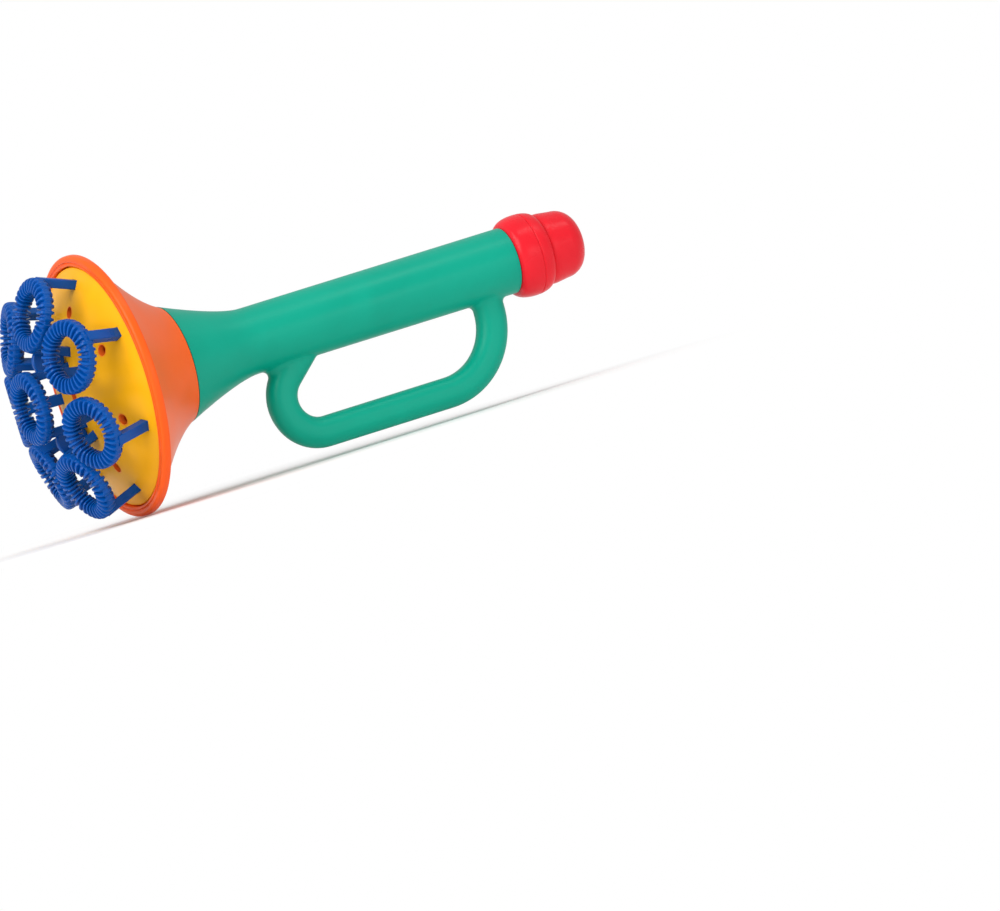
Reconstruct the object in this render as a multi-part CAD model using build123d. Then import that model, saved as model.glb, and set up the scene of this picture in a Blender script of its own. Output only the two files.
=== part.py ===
from build123d import *
import os
from math import cos, radians, sin, sqrt

# A toy bubble trumpet. The blowing axis lies along X and the bell opens towards -X.
# The origin is the centre of the bell's rim, +Z is up and the handle hangs below.
# All sizes are millimetres.

# Bell, from the rim to the seam with the green throat
rim_radius = 52.5
lip_width = 4.0
lip_height = 4.2
lip_rounding = 1.2
seam_x = 28.4
seam_radius = 23.4
bell_wall = 1.8
bell_back_angle = 25.6
bell_front_angle = 54.7
bell_flare_start = 9.0
bell_flare_end = 15.4
sleeve_length = 15.5
sleeve_wall = 1.6
seam_edge = 0.2

# Throat, tube and handle, blown as one hollow piece
tube_radius = 13.2
tube_end_x = 174.7
flare_knee_x = 53.0
flare_end_x = 62.0
body_wall = 1.6
handle_drop = 42.3
handle_thickness = 12.2
handle_width_share = 0.83
handle_rounding_share = 0.38
handle_front_x = 82.0
handle_front_radius = 14.2
handle_front_lean = 41.0
handle_back_x = 135.3
handle_back_radius = 26.5
handle_blend_share = 0.17

# Seal between the throat's spigot and the bell's sleeve
seal_width = 2.8
seal_depth = 1.6
seal_setback = 2.0

# Domed nozzle plate in the bell's mouth
dome_radius = 95.5
dome_edge_x = -1.0
dome_wall = 2.0
dome_edge_back = 1.5
skirt_wall = 1.5
skirt_length = 1.6
ledge_width = 3.4
ledge_root = 1.4
air_hole_radius = 2.1
air_hole_share = 0.665

# Finned bubble rings, seven round the dome and one on the axis
wand_count = 7
first_wand_angle = 12.9
wand_lean = 20.0
wand_foot_share = 0.626
wand_standoff = 15.0
centre_standoff = 18.0
ring_share = 0.235
fin_count = 32
fin_share = 0.5
fin_depth = 6.6
fin_height = 6.4
fin_rounding = 2.6
hoop_depth = 4.2
hoop_height = 3.8
hoop_rounding = 1.4
leg_offset = 1.7
leg_depth = 3.6
leg_width = 4.2
leg_tail = 1.5
web_radius = 6.5
web_thickness = 2.4
web_offset = 4.5
web_height = 6.0

# Retainer behind the dome, which the legs pass through
retainer_wall = 1.8
retainer_inner_radius = 7.0
retainer_air_radius = 3.2

# Mouthpiece and its non-return valve
collar_length = 14.4
collar_radius = 16.4
collar_fullness = 0.6
collar_waist = 0.2
neck_radius = 13.7
neck_inset = 1.0
bulb_length = 16.2
bulb_radius = 14.1
bulb_shoulder = 3.0
bulb_fullness = 0.1
bulb_taper = 0.7
bulb_rounding = 8.0
plug_length = 16.0
mouth_bore_radius = 10.0
blow_hole_radius = 4.5
blow_hole_length = 5.0
valve_step = 1.6
valve_inset = 8.0
valve_seat_thickness = 2.0
valve_port_radius = 2.1
valve_port_circle = 4.9
valve_port_count = 6
flap_thickness = 0.8
flap_radius = 8.3

# Clearances, and how far a cutting tool reaches past what it cuts
seam_gap = 0.3
slip_clearance = 0.3
seal_clearance = 0.05
plug_clearance = 0.08
seat_clearance = 0.1
plate_clearance = 0.2
slot_clearance = 0.15
overcut = 1.0

# Sizes that follow from the ones above
spigot_radius = seam_radius - sleeve_wall - seam_edge - slip_clearance
sleeve_radius = spigot_radius + slip_clearance
groove_radius = spigot_radius - seal_depth + seal_clearance
spigot_bore = groove_radius - body_wall
tube_bore = tube_radius - body_wall
handle_width = tube_radius * handle_width_share
handle_rounding = tube_radius * handle_rounding_share
handle_blend = tube_radius * handle_blend_share
lip_bore = rim_radius - lip_height
plate_radius = lip_bore - plate_clearance
skirt_radius = plate_radius - ledge_width + plate_clearance
dome_centre_x = dome_edge_x + sqrt(dome_radius**2 - plate_radius**2)
crown_height = dome_radius - dome_centre_x
air_hole_circle = plate_radius * air_hole_share
wand_foot_circle = plate_radius * wand_foot_share
ring_radius = plate_radius * ring_share
leg_radius = ring_radius + leg_offset
mouth_end_x = tube_end_x + seam_gap + collar_length + bulb_length


def revolved(face):
    """Turn a closed outline, drawn as (x, radius), once round the blowing axis."""
    return revolve(Plane.XZ * face, Axis.X)


def outline(*edges):
    """A face bounded by edges that meet end to end."""
    return make_face(Curve() + list(edges))


def box_outline(x_low, x_high, r_low, r_high):
    """A rectangle drawn as (x, radius)."""
    corners = [(x_low, r_low), (x_high, r_low), (x_high, r_high), (x_low, r_high)]
    return make_face(Polyline(*corners, close=True))


def ring(x_low, x_high, r_low, r_high):
    """A plain ring or disc round the blowing axis."""
    return revolved(box_outline(x_low, x_high, r_low, r_high))


def ball(radius):
    """A ball about the centre of the dome's curve."""
    return Pos(dome_centre_x, 0, 0) * Sphere(radius)


def around_axis(x, radius, angle):
    """The point at this radius and angle from +Z towards -Y."""
    turn = radians(angle)
    return Vector(x, -radius * sin(turn), radius * cos(turn))


def dome_x(radius_from_axis):
    """Where the dome's outer face lies at this distance from the axis."""
    return dome_centre_x - sqrt(dome_radius**2 - radius_from_axis**2)


def flare_share(radius):
    """How far along the throat's curve, from 0 to 1, its outer face has this radius."""
    return 1 - sqrt((radius - tube_radius) / (seam_radius - tube_radius))


def make_trumpet_body():
    """Throat, tube and loop handle, one hollow blow-moulded piece."""
    shoulder_x = seam_x + seam_gap
    spigot_front = shoulder_x - sleeve_length
    outer_knee = (flare_knee_x, tube_radius)
    outer = outline(
        Polyline(
            (spigot_front, 0), (spigot_front, spigot_radius),
            (shoulder_x, spigot_radius), (shoulder_x, seam_radius),
        ),
        Bezier((shoulder_x, seam_radius), outer_knee, (flare_end_x, tube_radius)),
        Polyline((flare_end_x, tube_radius), (tube_end_x, tube_radius), (tube_end_x, 0)),
        Line((tube_end_x, 0), (spigot_front, 0)),
    )
    done = flare_share(spigot_bore + body_wall)
    left = 1 - done
    knee_x = left * flare_knee_x + done * flare_end_x
    inner_start = left * (left * shoulder_x + done * flare_knee_x) + done * knee_x
    inner_knee = (knee_x, tube_bore)
    inner = outline(
        Polyline((spigot_front, 0), (spigot_front, spigot_bore), (inner_start, spigot_bore)),
        Bezier((inner_start, spigot_bore), inner_knee, (flare_end_x, tube_bore)),
        Polyline((flare_end_x, tube_bore), (tube_end_x, tube_bore), (tube_end_x, 0)),
        Line((tube_end_x, 0), (spigot_front, 0)),
    )
    handle = make_handle(0)
    skin = revolved(outer) + handle
    joints = [
        edge for edge in skin.edges()
        if edge.center().Z < -tube_radius / 2 and edge.geom_type == GeomType.BSPLINE
    ]
    skin = fillet(joints, handle_blend)
    groove_front = spigot_front + seal_setback
    groove = ring(groove_front, groove_front + seal_width, groove_radius, spigot_radius + overcut)
    return skin - revolved(inner) - make_handle(body_wall) - groove


def make_handle(inset):
    """The loop handle, drawn in by this much: inset 0 is its skin."""
    lean = radians(handle_front_lean)
    front_arc_z = handle_front_radius - handle_drop
    turn_end = Vector(
        handle_front_x - handle_front_radius * sin(lean), 0,
        front_arc_z + handle_front_radius * cos(lean),
    )
    reach = (-turn_end.Z - tube_radius / 2) / sin(lean)
    front_end = turn_end + Vector(cos(lean), 0, sin(lean)) * reach
    low_front = Vector(handle_front_x, 0, -handle_drop)
    front_side = Vector(handle_front_x - handle_front_radius, 0, front_arc_z)
    low_back = Vector(handle_back_x, 0, -handle_drop)
    back_arc_z = handle_back_radius - handle_drop
    back_side = Vector(handle_back_x + handle_back_radius, 0, back_arc_z)
    back_middle = Vector(
        handle_back_x + handle_back_radius * sin(radians(45)), 0,
        back_arc_z - handle_back_radius * cos(radians(45)),
    )
    back_end = Vector(back_side.X, 0, -tube_radius / 2)
    path = Wire([
        Edge.make_line(front_end, turn_end),
        Edge.make_three_point_arc(turn_end, front_side, low_front),
        Edge.make_line(low_front, low_back),
        Edge.make_three_point_arc(low_back, back_middle, back_side),
        Edge.make_line(back_side, back_end),
    ])
    width = handle_width - 2 * inset
    thickness = handle_thickness - 2 * inset
    start = Plane(front_end, x_dir=(0, 1, 0), z_dir=turn_end - front_end)
    return sweep(start * RectangleRounded(width, thickness, handle_rounding - inset), path)


def make_bell_seal():
    """The soft ring in the spigot's groove."""
    front = seam_x + seam_gap - sleeve_length + seal_setback + seat_clearance
    back = front + seal_width - 2 * seat_clearance
    return ring(front, back, groove_radius + seal_clearance, sleeve_radius - seal_clearance)


def make_bell():
    """The flared bell, its rounded lip, the plate's ledge and the inner sleeve."""
    back = Vector(seam_x, seam_radius)
    front = Vector(lip_width / 4, rim_radius - lip_height / 4)
    back_way = Vector(-cos(radians(bell_back_angle)), sin(radians(bell_back_angle)))
    front_way = Vector(-cos(radians(bell_front_angle)), sin(radians(bell_front_angle)))
    outer = [back, back + back_way * bell_flare_start, front - front_way * bell_flare_end, front]
    back_in = Vector(-back_way.Y, back_way.X) * bell_wall
    front_in = Vector(-front_way.Y, front_way.X) * bell_wall
    inner = [outer[0] + back_in, outer[1] + back_in, outer[2] + front_in, outer[3] + front_in]
    wall = outline(
        Bezier(*outer), Line(outer[3], inner[3]), Bezier(*inner[::-1]), Line(inner[0], outer[0]),
    )
    lip = Pos(0, rim_radius - lip_height / 2) * RectangleRounded(
        lip_width, lip_height, lip_rounding
    )
    ledge_front = dome_edge_back + plate_clearance
    ledge = box_outline(
        ledge_front, ledge_front + bell_wall,
        skirt_radius + plate_clearance, lip_bore + ledge_root,
    )
    front_x = seam_x - sleeve_length
    sleeve = box_outline(front_x, seam_x, sleeve_radius, sleeve_radius + sleeve_wall)
    bell = revolved(wall) + revolved(lip) + revolved(ledge) + revolved(sleeve)
    beyond_seam = ring(seam_x, seam_x + bell_wall, sleeve_radius, seam_radius + bell_wall)
    plate_recess = ring(-lip_width, ledge_front, 0, lip_bore)
    skirt_back = dome_edge_back + skirt_length + plate_clearance
    skirt_recess = ring(0, skirt_back, 0, skirt_radius + plate_clearance)
    return bell - beyond_seam - plate_recess - skirt_recess


def dome_shell(outer_radius, inner_radius, edge_radius):
    """The part of a ball's shell that faces the front, out to an edge round the axis."""
    front_x = dome_centre_x - outer_radius - overcut
    back_x = dome_centre_x - sqrt(inner_radius**2 - edge_radius**2) + overcut
    slice_of_axis = ring(front_x, back_x, 0, edge_radius)
    return (ball(outer_radius) - ball(inner_radius)) & slice_of_axis


def wand_place(angle, foot_circle, lean, standoff):
    """Where a ring sits: its plane faces away from the dome, leaning outwards."""
    tilt = radians(lean)
    outward = around_axis(0, 1, angle)
    facing = Vector(-cos(tilt), 0, 0) + outward * sin(tilt)
    out_in_plane = Vector(sin(tilt), 0, 0) + outward * cos(tilt)
    foot = around_axis(dome_x(foot_circle), foot_circle, angle)
    return Plane(foot + facing * standoff, x_dir=out_in_plane, z_dir=facing).location


def leg_length(standoff):
    """From the ring's middle to just behind the retainer."""
    sag = leg_radius**2 / (2 * dome_radius)
    behind = dome_wall + plate_clearance + retainer_wall + leg_tail
    return standoff + sag + behind


def make_legs(standoff, radius, growth):
    """Two square legs, grown by a clearance on each side when they cut a slot."""
    length = leg_length(standoff)
    leg = Pos(0, 0, -length / 2) * Box(leg_depth + 2 * growth, leg_width + 2 * growth, length)
    return Part() + [Pos(side * radius, 0, 0) * leg for side in (1, -1)]


def make_bubble_ring():
    """A hoop with thin fins that stand out all round it."""
    hoop_section = Pos(ring_radius, 0) * RectangleRounded(hoop_depth, hoop_height, hoop_rounding)
    fin_section = Pos(ring_radius, 0) * RectangleRounded(fin_depth, fin_height, fin_rounding)
    pitch = 360 / fin_count
    fin = revolve(Plane.XZ * fin_section, Axis.Z, pitch * fin_share)
    hoop = revolve(Plane.XZ * hoop_section, Axis.Z)
    return hoop + [Rot(0, 0, (k - fin_share / 2) * pitch) * fin for k in range(fin_count)]


def make_wand(bubble_ring, standoff, radius, with_webs):
    """A ring on its two legs, and on the middle one round webs at their feet."""
    wand = bubble_ring + make_legs(standoff, radius, 0)
    if with_webs:
        web = Rot(90, 0, 0) * Cylinder(web_radius, web_thickness)
        height = web_height - standoff
        wand = wand + [Pos(s * (radius + web_offset), 0, height) * web for s in (1, -1)]
    return wand


def make_nozzle_dome(slots):
    """The domed plate: its edge, its skirt, the air holes and the slots for the legs."""
    shell = dome_shell(dome_radius, dome_radius - dome_wall, plate_radius)
    inner = skirt_radius - skirt_wall
    edge = ring(dome_edge_x - overcut, dome_edge_back, inner, plate_radius)
    edge = edge & ball(dome_radius)
    skirt = ring(0, dome_edge_back + skirt_length, inner, skirt_radius)
    plate = shell + edge + skirt
    return plate - make_air_holes(air_hole_radius) - slots


def make_air_holes(radius):
    """One straight hole behind each ring."""
    length = 3 * crown_height
    drill = Rot(0, 90, 0) * Cylinder(radius, length)
    holes = [Location(around_axis(0, air_hole_circle, a)) * drill for a in wand_angles]
    return Part() + drill + holes


def make_retainer(slots):
    """The plate that holds the legs, parallel to the dome and just behind it."""
    outer = dome_radius - dome_wall - plate_clearance
    edge_radius = skirt_radius - skirt_wall - plate_clearance
    plate = dome_shell(outer, outer - retainer_wall, edge_radius)
    bore = ring(-2 * crown_height, crown_height, 0, retainer_inner_radius)
    return plate - bore - make_air_holes(retainer_air_radius) - slots


def make_mouthpiece():
    """Plug, round collar and bulb, with a stepped bore that ends in the blow hole."""
    collar_x = tube_end_x + seam_gap
    neck_x = collar_x + collar_length
    middle_x = (collar_x + neck_x) / 2
    plug_x = tube_end_x - plug_length
    step_x = collar_x + valve_inset
    plug = ring(plug_x, collar_x + overcut, 0, tube_bore - plug_clearance)
    collar_foot = neck_radius - neck_inset
    collar_full = collar_radius + collar_fullness
    collar = revolved(
        outline(
            Polyline((neck_x, 0), (collar_x, 0), (collar_x, collar_foot)),
            Bezier(
                (collar_x, collar_foot),
                (collar_x, collar_full),
                (middle_x, collar_radius + collar_waist),
                (neck_x - collar_waist, collar_full),
                (neck_x, collar_foot),
            ),
            Line((neck_x, collar_foot), (neck_x, 0)),
        )
    )
    shoulder_x = neck_x + bulb_shoulder
    nose_radius = bulb_radius - bulb_taper
    nose_x = mouth_end_x - bulb_rounding
    bulge_x = nose_x + bulb_rounding * sin(radians(45))
    bulge_radius = nose_radius - bulb_rounding * (1 - cos(radians(45)))
    bulb = revolved(
        outline(
            Polyline(
                (mouth_end_x, 0), (middle_x, 0), (middle_x, neck_radius), (neck_x, neck_radius)
            ),
            Bezier(
                (neck_x, neck_radius),
                (neck_x + bulb_shoulder / 5, bulb_radius + bulb_fullness),
                (shoulder_x, bulb_radius),
            ),
            Line((shoulder_x, bulb_radius), (nose_x, nose_radius)),
            ThreePointArc(
                (nose_x, nose_radius), (bulge_x, bulge_radius),
                (mouth_end_x, nose_radius - bulb_rounding),
            ),
            Line((mouth_end_x, nose_radius - bulb_rounding), (mouth_end_x, 0)),
        )
    )
    hollow = ring(plug_x, step_x, 0, mouth_bore_radius)
    hollow += ring(step_x, mouth_end_x - blow_hole_length, 0, mouth_bore_radius - valve_step)
    hollow += ring(mouth_end_x - blow_hole_length, mouth_end_x, 0, blow_hole_radius)
    return plug + collar + bulb - hollow


def make_valve_seat():
    """A disc with round ports that stops against the step in the mouthpiece's bore."""
    back = tube_end_x + seam_gap + valve_inset - seat_clearance
    seat = ring(back - valve_seat_thickness, back, 0, mouth_bore_radius - seat_clearance)
    port = Rot(0, 90, 0) * Cylinder(valve_port_radius, 4 * valve_seat_thickness)
    step = 360 / valve_port_count
    places = [around_axis(back, valve_port_circle, k * step) for k in range(valve_port_count)]
    return seat - [Location(place) * port for place in places]


def make_valve_flap():
    """The soft disc that lies on the seat and swings open about its top edge."""
    face = tube_end_x + seam_gap + valve_inset - valve_seat_thickness - 2 * seat_clearance
    return ring(face - flap_thickness, face, 0, flap_radius)


wand_angles = [first_wand_angle + k * 360 / wand_count for k in range(wand_count)]
wand_places = [wand_place(a, wand_foot_circle, wand_lean, wand_standoff) for a in wand_angles]
centre_place = wand_place(0, 0, 0, centre_standoff)
slot_legs = make_legs(wand_standoff, leg_radius, slot_clearance)
centre_slot_legs = make_legs(centre_standoff, ring_radius, slot_clearance)
slots = [place * slot_legs for place in wand_places] + [centre_place * centre_slot_legs]
bubble_ring = make_bubble_ring()
outer_wand = make_wand(bubble_ring, wand_standoff, leg_radius, False)

parts = {
    "trumpet_body": make_trumpet_body(),
    "bell_seal": make_bell_seal(),
    "bell": make_bell(),
    "nozzle_dome": make_nozzle_dome(slots),
    "wand_retainer": make_retainer(slots),
    "centre_wand": centre_place * make_wand(bubble_ring, centre_standoff, ring_radius, True),
    "mouthpiece": make_mouthpiece(),
    "valve_seat": make_valve_seat(),
    "valve_flap": make_valve_flap(),
}
for number, place in enumerate(wand_places, start=1):
    parts[f"wand_{number}"] = place * outer_wand

os.makedirs("parts", exist_ok=True)
for name, part in parts.items():
    part.label = name
    export_step(part, f"parts/{name}.step")
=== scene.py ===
import math

import bmesh
import bpy
import numpy as np
from mathutils import Matrix, Vector


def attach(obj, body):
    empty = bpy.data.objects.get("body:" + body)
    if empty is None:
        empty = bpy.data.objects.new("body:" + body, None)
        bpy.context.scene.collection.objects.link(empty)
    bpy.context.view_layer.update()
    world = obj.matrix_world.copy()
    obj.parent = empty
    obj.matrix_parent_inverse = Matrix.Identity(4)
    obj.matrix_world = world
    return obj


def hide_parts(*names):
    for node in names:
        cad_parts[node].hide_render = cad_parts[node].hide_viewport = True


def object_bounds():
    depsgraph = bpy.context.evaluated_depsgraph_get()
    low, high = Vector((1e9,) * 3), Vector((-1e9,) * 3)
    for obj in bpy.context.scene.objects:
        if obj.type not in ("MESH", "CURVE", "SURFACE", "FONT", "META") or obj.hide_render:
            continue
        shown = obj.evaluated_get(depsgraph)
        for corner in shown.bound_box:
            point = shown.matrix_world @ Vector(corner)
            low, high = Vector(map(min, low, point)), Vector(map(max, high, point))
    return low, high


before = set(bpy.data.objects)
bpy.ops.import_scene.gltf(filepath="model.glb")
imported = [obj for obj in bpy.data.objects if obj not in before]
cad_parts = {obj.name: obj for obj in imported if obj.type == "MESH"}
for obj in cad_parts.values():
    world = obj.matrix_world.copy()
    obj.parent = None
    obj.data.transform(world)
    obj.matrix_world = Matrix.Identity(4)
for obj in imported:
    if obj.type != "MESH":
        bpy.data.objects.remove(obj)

cad_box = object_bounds()
mm = 0.001


# Throat, tube and loop handle: one hollow piece of green polyethylene, blown in a mould
# that parts along the handle's middle plane. Everything else plugs onto it.
body_green = (0, 163, 136)
parting_line_width = 0.5 * mm
parting_line_height = 0.10 * mm
body_crease = math.radians(32)
weld_distance = 0.002 * mm
flow_low, flow_high = 0.3, 0.7
flow_dark, flow_light = 0.97, 1.01
flow_gloss, flow_matt = -0.05, 0.06
grain_scale = 700


def linear(colour):
    """Screen values from 0 to 255 as linear ones: the power 2.4 curve with its straight toe."""
    share = np.array(colour) / 255
    curve = ((share + 0.055) / 1.055) ** 2.4
    return tuple(np.where(share <= 0.04045, share / 12.92, curve)) + (1.0,)


def moulded_plastic(name, colour, roughness, flow_size, grain_height):
    """Opaque moulded plastic: broad flow marks shift its colour and gloss a little, and a
    fine grain from the mould breaks up its reflections."""
    material = bpy.data.materials.new(name)
    material.use_nodes = True
    nodes, links = material.node_tree.nodes, material.node_tree.links
    shader = nodes["Principled BSDF"]
    shader.inputs["IOR"].default_value = 1.5
    shader.inputs["Specular IOR Level"].default_value = 0.18
    place = nodes.new("ShaderNodeTexCoord")
    flow = nodes.new("ShaderNodeTexNoise")
    flow.inputs["Scale"].default_value = 1 / flow_size
    flow.inputs["Detail"].default_value = 3
    flow.inputs["Distortion"].default_value = 0.6
    tint = nodes.new("ShaderNodeValToRGB")
    tint.color_ramp.elements[0].position = flow_low
    tint.color_ramp.elements[0].color = linear(np.array(colour) * flow_dark)
    tint.color_ramp.elements[1].position = flow_high
    tint.color_ramp.elements[1].color = linear(np.minimum(np.array(colour) * flow_light, 255))
    gloss = nodes.new("ShaderNodeMapRange")
    gloss.inputs["From Min"].default_value = flow_low
    gloss.inputs["From Max"].default_value = flow_high
    gloss.inputs["To Min"].default_value = roughness + flow_gloss
    gloss.inputs["To Max"].default_value = roughness + flow_matt
    grain = nodes.new("ShaderNodeTexNoise")
    grain.inputs["Scale"].default_value = grain_scale
    grain.inputs["Detail"].default_value = 2
    bump = nodes.new("ShaderNodeBump")
    bump.inputs["Distance"].default_value = grain_height
    links.new(place.outputs["Object"], flow.inputs["Vector"])
    links.new(place.outputs["Object"], grain.inputs["Vector"])
    links.new(flow.outputs["Fac"], tint.inputs["Fac"])
    links.new(flow.outputs["Fac"], gloss.inputs["Value"])
    links.new(tint.outputs["Color"], shader.inputs["Base Color"])
    links.new(gloss.outputs["Result"], shader.inputs["Roughness"])
    links.new(grain.outputs["Fac"], bump.inputs["Height"])
    links.new(bump.outputs["Normal"], shader.inputs["Normal"])
    return material


def add_parting_line(material, width, height):
    """A low ridge where the mould's halves meet: it follows the plane y = 0."""
    nodes, links = material.node_tree.nodes, material.node_tree.links
    place = nodes.new("ShaderNodeTexCoord")
    split = nodes.new("ShaderNodeSeparateXYZ")
    distance = nodes.new("ShaderNodeMath")
    distance.operation = "ABSOLUTE"
    ridge = nodes.new("ShaderNodeMapRange")
    ridge.interpolation_type = "SMOOTHSTEP"
    ridge.inputs["From Max"].default_value = width / 2
    ridge.inputs["To Min"].default_value = 1
    ridge.inputs["To Max"].default_value = 0
    bump = nodes.new("ShaderNodeBump")
    bump.inputs["Distance"].default_value = height
    links.new(place.outputs["Object"], split.inputs["Vector"])
    links.new(split.outputs["Y"], distance.inputs[0])
    links.new(distance.outputs["Value"], ridge.inputs["Value"])
    links.new(ridge.outputs["Result"], bump.inputs["Height"])
    links.new(nodes["Bump"].outputs["Normal"], bump.inputs["Normal"])
    links.new(bump.outputs["Normal"], nodes["Principled BSDF"].inputs["Normal"])


def finished_piece(name, form, crease, material):
    """An object from a form: smooth across every edge that turns less than the crease."""
    for face in form.faces:
        face.smooth = True
    for edge in form.edges:
        edge.smooth = len(edge.link_faces) == 2 and edge.calc_face_angle() < crease
    mesh = bpy.data.meshes.new(name)
    form.to_mesh(mesh)
    form.free()
    mesh.materials.append(material)
    piece = bpy.data.objects.new(name, mesh)
    bpy.context.scene.collection.objects.link(piece)
    return piece


def joined_copy(node):
    """The node's own surface as a form whose loose triangles share their corners."""
    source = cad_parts[node].data
    corners = np.empty(len(source.vertices) * 3)
    source.vertices.foreach_get("co", corners)
    faces = [tuple(face.vertices) for face in source.polygons]
    plain = bpy.data.meshes.new(node + "_copy")
    plain.from_pydata(corners.reshape(-1, 3), [], faces)
    form = bmesh.new()
    form.from_mesh(plain)
    bpy.data.meshes.remove(plain)
    bmesh.ops.remove_doubles(form, verts=form.verts, dist=weld_distance)
    return form


green = moulded_plastic(
    "green_blown_plastic", body_green, roughness=0.36, flow_size=25 * mm, grain_height=0.012 * mm
)
add_parting_line(green, parting_line_width, parting_line_height)
horn_body = finished_piece("horn_body", joined_copy("trumpet_body"), body_crease, green)
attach(horn_body, "body")
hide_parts("trumpet_body")


# Seal between the throat's spigot and the bell: a soft moulded ring of pale rubber that sits
# in a groove, so that the air leaves by the dome's holes.
seal_grey = (205, 203, 196)
rubber = moulded_plastic(
    "pale_soft_rubber", seal_grey, roughness=0.6, flow_size=8 * mm, grain_height=0.02 * mm
)
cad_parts["bell_seal"].material_slots[0].material = rubber


# Bell: a flared cone of orange plastic with a rolled lip. It is injection moulded, and its
# inner sleeve is pushed over the throat, so its back edge meets the green flush.
bell_orange = (246, 102, 34)
lip_orange = (248, 92, 20)
rim_radius = 52.49 * mm
lip_half_width = 2.0 * mm
lip_height = 4.2 * mm
lip_rounding = 1.5 * mm
lip_inner_rounding = 0.7 * mm
lip_groove_radius = 49.7 * mm
lip_groove_half = 0.45 * mm
lip_groove_depth = 0.4 * mm
lip_tint_inset = 0.2 * mm
lip_tint_reach = 0.4 * mm
seam_x = 28.4 * mm
seam_radius = 23.4 * mm
bell_wall = 1.8 * mm
back_angle = math.radians(25.6)
front_angle = math.radians(54.7)
flare_start = 9.0 * mm
flare_end = 15.4 * mm
flare_front_x = 1.0 * mm
sleeve_front = 12.9 * mm
sleeve_radius = 21.5 * mm
sleeve_wall = 1.6 * mm
sleeve_root = 3.0 * mm
ledge_x = 1.7 * mm
ledge_radius = 45.1 * mm
turn_steps = 256
moulded_crease = math.radians(35)
grid_weld = 0.0001 * mm
grid_sliver = 0.00001 * mm


def bezier(points, count):
    """Points on a Bezier curve: each control point weighed by its Bernstein polynomial."""
    points = np.array(points)
    order = len(points) - 1
    share = np.linspace(0, 1, count)[:, None]
    curve = np.zeros((count, 2))
    for power, point in enumerate(points):
        weight = math.comb(order, power) * share**power * (1 - share) ** (order - power)
        curve = curve + weight * point
    return curve


def arc(centre, radius, start, end, count):
    """Points on a circle round a centre, between two angles given in degrees."""
    angle = np.radians(np.linspace(start, end, count))
    return np.array(centre) + radius * np.stack([np.cos(angle), np.sin(angle)], axis=1)


def line(start, end, count):
    """Evenly spaced points from start to end."""
    return np.array(start) + np.linspace(0, 1, count)[:, None] * (np.array(end) - start)


def turned(profile):
    """A closed profile of (x, radius) carried once round the X axis: y is minus the radius
    times the angle's sine, and z the radius times its cosine."""
    angle = np.linspace(0, 2 * np.pi, turn_steps, endpoint=False)[:, None]
    x, radius = profile.T
    grid = [x + 0 * angle, -radius * np.sin(angle), radius * np.cos(angle)]
    return np.stack(grid, axis=-1)


def closed_form(grids):
    """Quads between neighbouring rows and columns of each grid, which wrap both ways. Rows
    that shrink to a point are merged there, and the faces are turned outwards."""
    corners, quads, used = [], [], 0
    for grid in grids:
        rows, columns = grid.shape[:2]
        number = np.arange(rows * columns).reshape(rows, columns) + used
        below = np.roll(number, -1, axis=0)
        square = [number, np.roll(number, -1, axis=1), np.roll(below, -1, axis=1), below]
        quads.append(np.stack(square, axis=-1).reshape(-1, 4))
        corners.append(grid.reshape(-1, 3))
        used += rows * columns
    plain = bpy.data.meshes.new("grid")
    plain.from_pydata(np.concatenate(corners), [], np.concatenate(quads).tolist())
    form = bmesh.new()
    form.from_mesh(plain)
    bpy.data.meshes.remove(plain)
    bmesh.ops.remove_doubles(form, verts=form.verts, dist=grid_weld)
    bmesh.ops.dissolve_degenerate(form, edges=form.edges, dist=grid_sliver)
    bmesh.ops.recalc_face_normals(form, faces=form.faces)
    return form


def bell_profile():
    """The bell's cut face: the flare's outside, round the lip with the shallow groove in its
    front, then back along the inside. The flare is a Bezier curve that leaves both of its
    ends at their own angles, and the groove is a cosine squared."""
    back = np.array([seam_x, seam_radius])
    front = np.array([flare_front_x, rim_radius - lip_height / 4])
    back_way = np.array([-math.cos(back_angle), math.sin(back_angle)])
    front_way = np.array([-math.cos(front_angle), math.sin(front_angle)])
    knees = [back, back + back_way * flare_start, front - front_way * flare_end, front]
    outside = bezier(knees, 60)
    outside = outside[outside[:, 0] > lip_half_width]
    inward = [[-back_way[1], back_way[0]], [-front_way[1], front_way[0]]]
    shift = np.array([inward[0], inward[0], inward[1], inward[1]]) * bell_wall
    inside = bezier(np.array(knees) + shift, 60)[::-1]
    keep = (inside[:, 0] > ledge_x + bell_wall) & (inside[:, 0] < seam_x - sleeve_root)
    high = rim_radius - lip_rounding
    low = rim_radius - lip_height + lip_inner_rounding
    side = lip_half_width - lip_rounding
    step = np.linspace(-lip_groove_half, lip_groove_half, 9)
    dip = np.cos(np.pi / 2 * step / lip_groove_half) ** 2
    sleeve_outer = sleeve_radius + sleeve_wall
    return np.concatenate([
        outside,
        arc((side, high), lip_rounding, 0, 90, 8),
        arc((-side, high), lip_rounding, 90, 180, 8),
        np.stack([lip_groove_depth * dip - lip_half_width, lip_groove_radius - step], axis=1),
        arc((lip_inner_rounding - lip_half_width, low), lip_inner_rounding, 180, 270, 8),
        line((ledge_x, rim_radius - lip_height), (ledge_x, ledge_radius), 3),
        [(ledge_x + bell_wall, ledge_radius)],
        inside[keep & (inside[:, 1] < ledge_radius)],
        line((sleeve_front, sleeve_outer), (sleeve_front, sleeve_radius), 2),
        [(seam_x, sleeve_radius)],
    ])


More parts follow.
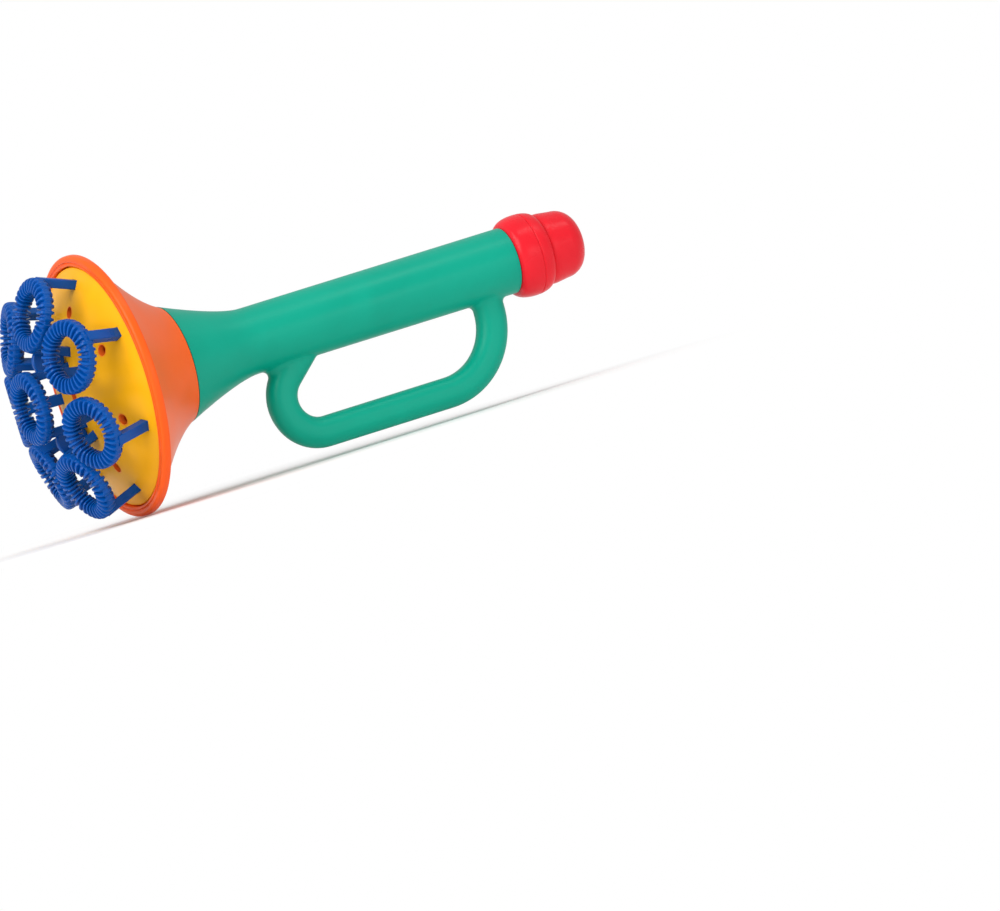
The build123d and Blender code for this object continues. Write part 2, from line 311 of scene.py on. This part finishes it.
def add_lip_tint(material, colour):
    """The rolled lip is a deeper colour, which changes smoothly along x just behind it."""
    nodes, links = material.node_tree.nodes, material.node_tree.links
    place = nodes.new("ShaderNodeTexCoord")
    split = nodes.new("ShaderNodeSeparateXYZ")
    on_lip = nodes.new("ShaderNodeMapRange")
    on_lip.interpolation_type = "SMOOTHSTEP"
    on_lip.inputs["From Min"].default_value = lip_half_width - lip_tint_inset
    on_lip.inputs["From Max"].default_value = lip_half_width + lip_tint_reach
    blend = nodes.new("ShaderNodeMix")
    blend.data_type = "RGBA"
    blend.inputs[6].default_value = linear(colour)
    links.new(place.outputs["Object"], split.inputs["Vector"])
    links.new(split.outputs["X"], on_lip.inputs["Value"])
    links.new(on_lip.outputs["Result"], blend.inputs[0])
    links.new(nodes["Color Ramp"].outputs["Color"], blend.inputs[7])
    links.new(blend.outputs[2], nodes["Principled BSDF"].inputs["Base Color"])


orange = moulded_plastic(
    "orange_moulded_plastic", bell_orange, roughness=0.33, flow_size=30 * mm,
    grain_height=0.008 * mm
)
add_lip_tint(orange, lip_orange)
bell_form = closed_form([turned(bell_profile())])
bell = finished_piece("flared_bell", bell_form, moulded_crease, orange)
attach(bell, "head")
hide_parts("bell")


# Retainer behind the dome: a moulded ring plate of the bell's plastic. The rings' legs snap
# into its square holes.
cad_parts["wand_retainer"].material_slots[0].material = orange


# Nozzle dome: a yellow domed plate that drops into the lip. Eight air holes blow through
# the rings in front of them, and the rings' legs are pushed through square slots.
dome_yellow = (249, 177, 14)
# The air holes' orange is a painted glow: light through the bell's wall, painted as colour.
painted_glow_orange = (250, 112, 34)
dome_radius = 95.5 * mm
crown_height = 14.0 * mm
dome_wall = 2.0 * mm
plate_radius = 48.1 * mm
plate_back = 1.5 * mm
plate_edge = 1.2 * mm
plate_rounding = 0.5 * mm
skirt_radius = 44.9 * mm
skirt_wall = 1.5 * mm
skirt_back = 3.1 * mm
air_hole_radius = 2.1 * mm
air_hole_circle = 32.0 * mm
painted_glow_width = 0.5 * mm
drill_sides = 24
wand_count = 7
first_wand_angle = 12.9
wand_lean = 20.0
wand_foot_circle = 30.1 * mm
wand_standoff = 15.0 * mm
centre_standoff = 18.0 * mm
leg_radius = 13.0 * mm
centre_leg_radius = 11.3 * mm
leg_depth = 3.6 * mm
leg_width = 4.2 * mm
slot_clearance = 0.15 * mm
slot_reach = 8.0 * mm
leg_tail = 6.385 * mm
dome_centre_x = dome_radius - crown_height


def dome_arc(radius, inner, outer, count):
    """The dome's curve at one of its faces, between two distances from the axis."""
    away = np.linspace(inner, outer, count)
    return np.stack([dome_centre_x - np.sqrt(radius**2 - away**2), away], axis=1)


def wand_stand(angle, foot_circle, lean, standoff):
    """Where a ring's middle is, and its own three directions: out in its plane, round the
    dome, and the way that the ring faces."""
    turn, tilt = math.radians(angle), math.radians(lean)
    outward = np.array([0, -math.sin(turn), math.cos(turn)])
    forward = np.array([-1, 0, 0])
    facing = forward * math.cos(tilt) + outward * math.sin(tilt)
    out_in_plane = outward * math.cos(tilt) - forward * math.sin(tilt)
    foot_x = dome_centre_x - math.sqrt(dome_radius**2 - foot_circle**2)
    middle = np.array([foot_x, 0, 0]) + outward * foot_circle + facing * standoff
    return middle, np.array([out_in_plane, np.cross(facing, out_in_plane), facing])


def bar(outline, low, high):
    """A flat outline carried straight from low to high, with both ends closed to a point."""
    middle = outline.mean(axis=0)
    ends = [(middle + 0 * outline, low), (outline, low), (outline, high)]
    ends.append((middle + 0 * outline, high))
    rows = [np.column_stack([flat, np.full(len(flat), height)]) for flat, height in ends]
    return np.stack(rows)


wand_angles = [first_wand_angle + step * 360 / wand_count for step in range(wand_count)]
wand_stands = [
    wand_stand(angle, wand_foot_circle, wand_lean, wand_standoff) for angle in wand_angles
]
centre_stand = wand_stand(0, 0, 0, centre_standoff)


def dome_cutters():
    """Round drills for the air holes and square ones for the legs' slots."""
    circle = arc((0, 0), air_hole_radius, 0, 360 - 360 / drill_sides, drill_sides)
    drill = bar(circle, -dome_radius, dome_radius)[..., [2, 0, 1]]
    turns = np.radians(wand_angles)
    spots = np.stack([0 * turns, -np.sin(turns), np.cos(turns)], axis=1) * air_hole_circle
    cutters = [drill + spot for spot in spots]
    half = np.array([leg_depth, leg_width]) / 2 + slot_clearance
    square = np.array([(-1, -1), (1, -1), (1, 1), (-1, 1)]) * half
    stands = [(stand, leg_radius, wand_standoff) for stand in wand_stands]
    stands.append((centre_stand, centre_leg_radius, centre_standoff))
    for (middle, ways), reach, standoff in stands:
        for side in (1, -1):
            slot = bar(square, -standoff - slot_reach, slot_reach - standoff)
            cutters.append((slot + [side * reach, 0, 0]) @ ways + middle)
    return cutters


def cut_dome():
    """The turned plate with its holes and slots taken out of it."""
    plate = turned(np.concatenate([
        dome_arc(dome_radius, air_hole_radius, plate_radius - plate_rounding, 70),
        arc((plate_back - plate_edge, plate_radius - plate_rounding), plate_rounding, 135, 90, 4),
        line((plate_back, plate_radius), (plate_back, skirt_radius), 3),
        line((skirt_back, skirt_radius), (skirt_back, skirt_radius - skirt_wall), 2),
        dome_arc(dome_radius - dome_wall, air_hole_radius, skirt_radius - skirt_wall, 50)[::-1],
    ]))
    blank = finished_piece("dome_blank", closed_form([plate]), moulded_crease, yellow)
    tool = finished_piece("dome_cutters", closed_form(dome_cutters()), moulded_crease, yellow)
    cut = blank.modifiers.new("cut", "BOOLEAN")
    cut.object = tool
    cut.solver = "EXACT"
    evaluated = blank.evaluated_get(bpy.context.evaluated_depsgraph_get())
    form = bmesh.new()
    form.from_mesh(evaluated.to_mesh())
    evaluated.to_mesh_clear()
    for part in (blank, tool):
        bpy.data.objects.remove(part)
    return form


def mark_painted_glow_nearness(mesh):
    """How near each corner is to an air hole's wall, the mask of the painted glow: 1 on the wall, 0
    at the glow's width.
    """
    corners = np.empty(len(mesh.vertices) * 3)
    mesh.vertices.foreach_get("co", corners)
    flat = corners.reshape(-1, 3)[:, 1:]
    turns = np.radians(wand_angles)
    spots = np.stack([-np.sin(turns), np.cos(turns)], axis=1) * air_hole_circle
    spots = np.concatenate([spots, [[0, 0]]])
    away = np.linalg.norm(flat[:, None] - spots[None], axis=2).min(axis=1)
    nearness = np.clip(1 - (away - air_hole_radius) / painted_glow_width, 0, 1)
    layer = mesh.attributes.new("painted_glow_nearness", "FLOAT", "POINT")
    layer.data.foreach_set("value", nearness.astype(np.float32))


def add_painted_hole_glow(material, colour):
    """Painted light: the orange painted round the air holes stands in for light through the bell's
    orange wall, which colours them from within.
    """
    nodes, links = material.node_tree.nodes, material.node_tree.links
    near = nodes.new("ShaderNodeAttribute")
    near.attribute_name = "painted_glow_nearness"
    blend = nodes.new("ShaderNodeMix")
    blend.data_type = "RGBA"
    blend.inputs[7].default_value = linear(colour)
    links.new(near.outputs["Fac"], blend.inputs[0])
    links.new(nodes["Color Ramp"].outputs["Color"], blend.inputs[6])
    links.new(blend.outputs[2], nodes["Principled BSDF"].inputs["Base Color"])


yellow = moulded_plastic(
    "yellow_moulded_plastic", dome_yellow, roughness=0.35, flow_size=22 * mm,
    grain_height=0.008 * mm
)
# Painted light: an orange glow painted round every air hole.
add_painted_hole_glow(yellow, painted_glow_orange)
dome = finished_piece("nozzle_plate", cut_dome(), moulded_crease, yellow)
mark_painted_glow_nearness(dome.data)
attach(dome, "head")
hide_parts("nozzle_dome")


# Bubble rings: blue injection-moulded hoops with thin fins all round that hold the soap
# solution, each on two square legs. Seven lean outwards and one is in the middle.
wand_blue = (0, 78, 160)
ring_radius = 11.3 * mm
fin_count = 32
fin_half_depth = 3.3 * mm
fin_half_height = 3.19 * mm
groove_half_depth = 2.1 * mm
groove_half_height = 1.9 * mm
band_half_depth = 3.0 * mm
band_half_height = 1.4 * mm
leg_chamfer = 0.35 * mm
web_radius = 6.5 * mm
web_half_thickness = 1.2 * mm
web_offset = 4.5 * mm
web_height = 6.0 * mm
web_rounding = 0.4 * mm
web_steps = 64
wand_crease = math.radians(38)
fin_steepness = 1.5
steps_per_fin = 12
section_steps = 40


def rounded_section(half_depth, half_height, angle):
    """A rounded box seen from its middle: the distance that makes the two shares of the
    half sizes, each to the power 3, add up to one."""
    shares = np.abs(np.cos(angle) / half_depth) ** 3 + np.abs(np.sin(angle) / half_height) ** 3
    return shares ** (-1 / 3)


def finned_hoop():
    """Round the hoop, the section swells from the groove's to the fin's and back once for
    each fin. A smooth band fills the grooves at mid-height on the outside."""
    around = np.linspace(0, 2 * np.pi, fin_count * steps_per_fin, endpoint=False)[:, None]
    section = np.linspace(0, 2 * np.pi, section_steps, endpoint=False)[None, :]
    fin = rounded_section(fin_half_depth, fin_half_height, section)
    groove = rounded_section(groove_half_depth, groove_half_height, section)
    above_zero = 0.001
    side = np.maximum(np.cos(section), above_zero)
    height = np.maximum(np.abs(np.sin(section)), above_zero)
    band = np.minimum(band_half_depth / side, band_half_height / height)
    groove = np.maximum(groove, np.where(np.cos(section) > 0, band, 0))
    swell = np.clip(0.5 + fin_steepness * np.cos(fin_count * around), 0, 1)
    swell = swell * swell * (3 - 2 * swell)
    size = groove + (np.maximum(fin, groove) - groove) * swell
    out = ring_radius + size * np.cos(section)
    up = size * np.sin(section) + 0 * around
    return np.stack([out * np.cos(around), out * np.sin(around), up], axis=-1)


def leg(side, reach, standoff):
    """A square bar with cut corners, from the ring's middle down to behind the dome."""
    deep, wide = leg_depth / 2, leg_width / 2
    short_deep, short_wide = deep - leg_chamfer, wide - leg_chamfer
    corners = [(-short_deep, -wide), (short_deep, -wide), (deep, -short_wide), (deep, short_wide)]
    corners += [(short_deep, wide), (-short_deep, wide), (-deep, short_wide), (-deep, -short_wide)]
    return bar(np.array(corners) + [side * reach, 0], -standoff - leg_tail, 0)


def foot_web(side, reach):
    """A flat round web on a leg, just above the dome, with its edge slightly rounded."""
    flat_radius = web_radius - web_rounding
    across = np.array([0, flat_radius, web_radius, web_radius, flat_radius, 0])
    face, edge = web_half_thickness, web_half_thickness - web_rounding
    through = np.array([-face, -face, -edge, edge, face, face])
    turn = np.linspace(0, 2 * np.pi, web_steps, endpoint=False)[:, None]
    x = side * (reach + web_offset) + across * np.cos(turn)
    z = web_height - centre_standoff + across * np.sin(turn)
    return np.stack([x, through + 0 * turn, z], axis=-1)


def make_wand(name, stand, shells):
    """One ring with its legs, set on its stand."""
    middle, ways = stand
    form = closed_form([shell @ ways + middle for shell in shells])
    wand = finished_piece(name, form, wand_crease, blue)
    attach(wand, "head")
    return wand


blue = moulded_plastic(
    "blue_moulded_plastic", wand_blue, roughness=0.30, flow_size=12 * mm, grain_height=0.006 * mm
)
for number, stand in enumerate(wand_stands, start=1):
    shells = [finned_hoop()]
    shells += [leg(side, leg_radius, wand_standoff) for side in (1, -1)]
    wand = make_wand(f"finned_wand_{number}", stand, shells)
    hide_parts(f"wand_{number}")
shells = [finned_hoop()]
for side in (1, -1):
    shells.append(leg(side, centre_leg_radius, centre_standoff))
    shells.append(foot_web(side, centre_leg_radius))
wand = make_wand("finned_centre_wand", centre_stand, shells)
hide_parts("centre_wand")


# Mouthpiece: one red injection-moulded piece. Its plug is pushed into the tube, a round
# collar stops it there, and the bulb behind the collar goes between the lips.
mouth_red = (232, 30, 44)
collar_x = 175.0 * mm
collar_length = 14.4 * mm
collar_radius = 16.4 * mm
neck_radius = 13.7 * mm
bulb_radius = 14.1 * mm
bulb_taper = 0.7 * mm
collar_foot = 1.0 * mm
collar_fullness = 0.6 * mm
collar_waist = 0.2 * mm
neck_inset = 0.2 * mm
crease_x = 183.8 * mm
crease_half = 0.6 * mm
crease_depth = 0.35 * mm
shoulder_lean = 0.6 * mm
shoulder_length = 3.0 * mm
shoulder_fullness = 0.1 * mm
bulb_rounding = 8.0 * mm
mouth_end_x = 205.6 * mm
plug_x = 158.7 * mm
plug_radius = 11.52 * mm
plug_chamfer = 0.5 * mm
mouth_bore = 10.0 * mm
valve_x = 183.0 * mm
valve_step = 1.6 * mm
blow_hole_radius = 4.5 * mm
blow_hole_x = 200.6 * mm
blow_hole_edge = 0.4 * mm


def mouthpiece_profile():
    """The mouthpiece's cut face: plug, collar and bulb outside, then the stepped bore. The
    collar is a Bezier curve, and its fine crease has a parabola on each side."""
    neck_x = collar_x + collar_length
    middle_x = collar_x + collar_length / 2
    nose_radius = bulb_radius - bulb_taper
    nose_x = mouth_end_x - bulb_rounding
    nose_flat = nose_radius - bulb_rounding
    edge_radius = blow_hole_radius + blow_hole_edge
    full_radius = collar_radius + collar_fullness
    collar = bezier([
        (collar_x, neck_radius - collar_foot),
        (collar_x, full_radius),
        (middle_x, collar_radius + collar_waist),
        (neck_x - neck_inset, full_radius),
        (neck_x, neck_radius - neck_inset),
    ], 200)
    nearness = np.clip(1 - np.abs(collar[:, 0] - crease_x) / crease_half, 0, 1)
    collar[:, 1] -= crease_depth * nearness**2
    shoulder = bezier([
        (neck_x, neck_radius - neck_inset),
        (neck_x + shoulder_lean, bulb_radius + shoulder_fullness),
        (neck_x + shoulder_length, bulb_radius),
    ], 12)
    return np.concatenate([
        line((plug_x, mouth_bore), (plug_x, plug_radius - plug_chamfer), 2),
        line((plug_x + plug_chamfer, plug_radius), (collar_x, plug_radius), 4),
        collar,
        shoulder[1:],
        arc((nose_x, nose_flat), bulb_rounding, 90, 0, 24),
        arc((mouth_end_x - blow_hole_edge, edge_radius), blow_hole_edge, 0, -90, 6),
        line((blow_hole_x, blow_hole_radius), (blow_hole_x, mouth_bore - valve_step), 2),
        line((valve_x, mouth_bore - valve_step), (valve_x, mouth_bore), 2),
    ])


red = moulded_plastic(
    "red_moulded_plastic", mouth_red, roughness=0.27, flow_size=18 * mm, grain_height=0.006 * mm
)
mouthpiece_form = closed_form([turned(mouthpiece_profile())])
mouthpiece = finished_piece("red_mouthpiece", mouthpiece_form, moulded_crease, red)
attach(mouthpiece, "mouth")
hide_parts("mouthpiece")


# Valve: a moulded white disc with round ports, pushed against the step in the mouthpiece, and
# a thin flap of the seal's rubber on it that keeps the soap solution from being sucked back.
seat_white = (222, 222, 216)
white = moulded_plastic(
    "white_moulded_plastic", seat_white, roughness=0.45, flow_size=10 * mm, grain_height=0.01 * mm
)
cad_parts["valve_seat"].material_slots[0].material = white
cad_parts["valve_flap"].material_slots[0].material = rubber


# Floor and backdrop: plain white card. The card keeps the shadow near the object, and
# further out it fades to the white of the backdrop.
floor_size = 6.0
floor_gap = 0.3 * mm
floor_z = cad_box[0][2] - floor_gap
fade_middle = (0.06, 0, floor_z)
fade_start = 0.09
fade_end = 0.21
floor_mesh = bpy.data.meshes.new("floor")
half = floor_size / 2
floor_corners = [(-half, -half, floor_z), (half, -half, floor_z), (half, half, floor_z)]
floor_corners.append((-half, half, floor_z))
floor_mesh.from_pydata(floor_corners, [], [(0, 1, 2, 3)])
floor = bpy.data.objects.new("floor", floor_mesh)
bpy.context.scene.collection.objects.link(floor)


def white_card():
    """White card that turns to plain white light, for the camera alone, away from the object."""
    material = bpy.data.materials.new("white_card")
    material.use_nodes = True
    nodes, links = material.node_tree.nodes, material.node_tree.links
    shader = nodes["Principled BSDF"]
    shader.inputs["Base Color"].default_value = (0.93, 0.93, 0.93, 1)
    shader.inputs["Roughness"].default_value = 0.9
    shader.inputs["Specular IOR Level"].default_value = 0
    place = nodes.new("ShaderNodeTexCoord")
    centre = nodes.new("ShaderNodeVectorMath")
    centre.operation = "DISTANCE"
    centre.inputs[1].default_value = fade_middle
    fade = nodes.new("ShaderNodeMapRange")
    fade.interpolation_type = "SMOOTHSTEP"
    fade.inputs["From Min"].default_value = fade_start
    fade.inputs["From Max"].default_value = fade_end
    seen = nodes.new("ShaderNodeLightPath")
    both = nodes.new("ShaderNodeMath")
    both.operation = "MULTIPLY"
    glow = nodes.new("ShaderNodeEmission")
    mix = nodes.new("ShaderNodeMixShader")
    links.new(place.outputs["Object"], centre.inputs[0])
    links.new(centre.outputs["Value"], fade.inputs["Value"])
    links.new(fade.outputs["Result"], both.inputs[0])
    links.new(seen.outputs["Is Camera Ray"], both.inputs[1])
    links.new(both.outputs["Value"], mix.inputs["Fac"])
    links.new(shader.outputs["BSDF"], mix.inputs[1])
    links.new(glow.outputs["Emission"], mix.inputs[2])
    links.new(mix.outputs["Shader"], nodes["Material Output"].inputs["Surface"])
    return material


floor_mesh.materials.append(white_card())


# Camera: level with the object, a little to the bell's side, rolled so that the tube rises
# to the right. One pixel of the picture covers this much at the object.
pixel = 0.3862 * mm
picture_width, picture_height = 1000, 911
rim_centre_x, rim_centre_y = 106.2, 385.7
camera_distance = 7.0
turn, lift, roll = (math.radians(angle) for angle in (-22.0, 1.3, 17.05))
back = np.array([math.sin(turn) * math.cos(lift), -math.cos(turn) * math.cos(lift), math.sin(lift)])
level_right = np.array([math.cos(turn), math.sin(turn), 0])
level_up = np.cross(back, level_right)
right = math.cos(roll) * level_right - math.sin(roll) * level_up
up = math.sin(roll) * level_right + math.cos(roll) * level_up
aim = right * (picture_width / 2 - rim_centre_x) * pixel
aim += up * (rim_centre_y - picture_height / 2) * pixel


def aimed(thing, place):
    """Sets a camera or lamp at a place so that it looks at the object's middle."""
    away = Vector(place - aim).normalized()
    side = Vector(up).cross(away).normalized()
    turned_up = away.cross(side)
    thing.matrix_world = Matrix.Translation(Vector(place)) @ Matrix(
        (side, turned_up, away)
    ).transposed().to_4x4()


camera_data = bpy.data.cameras.new("camera")
camera_data.sensor_fit = "HORIZONTAL"
camera_data.lens = camera_data.sensor_width * camera_distance / (picture_width * pixel)
camera = bpy.data.objects.new("camera", camera_data)
bpy.context.scene.collection.objects.link(camera)
aimed(camera, aim + back * camera_distance)
bpy.context.scene.camera = camera


# Light: a large soft key on the bell's side that shines on the dome's face, a wide fill from
# the camera's right, and a strip overhead that draws soft highlights along the tube. An
# even light from all round keeps the shadows open.
lamps = (
    ("key", 1.0, 1.0, 13.0, -1.0 * right + 0.45 * up + 0.75 * back),
    ("fill", 1.0, 1.0, 6.0, 0.75 * right + 0.1 * up + 1.1 * back),
    ("strip", 1.2, 0.25, 3.0, 0.15 * right + 1.25 * up + 0.25 * back),
)
for name, width, height, power, offset in lamps:
    lamp_data = bpy.data.lights.new(name, "AREA")
    lamp_data.shape = "RECTANGLE"
    lamp_data.size = width
    lamp_data.size_y = height
    lamp_data.energy = power
    lamp = bpy.data.objects.new(name, lamp_data)
    bpy.context.scene.collection.objects.link(lamp)
    aimed(lamp, aim + offset)

world = bpy.data.worlds.new("studio")
bpy.context.scene.world = world
world.use_nodes = True
world_nodes, world_links = world.node_tree.nodes, world.node_tree.links
room = world_nodes["Background"]
room.inputs["Color"].default_value = (1, 1, 1, 1)
room.inputs["Strength"].default_value = 0.6
backdrop = world_nodes.new("ShaderNodeBackground")
backdrop.inputs["Color"].default_value = (1, 1, 1, 1)
seen = world_nodes.new("ShaderNodeLightPath")
choice = world_nodes.new("ShaderNodeMixShader")
world_links.new(seen.outputs["Is Camera Ray"], choice.inputs["Fac"])
world_links.new(room.outputs["Background"], choice.inputs[1])
world_links.new(backdrop.outputs["Background"], choice.inputs[2])
world_links.new(choice.outputs["Shader"], world_nodes["World Output"].inputs["Surface"])
bpy.context.scene.view_settings.view_transform = "Standard"
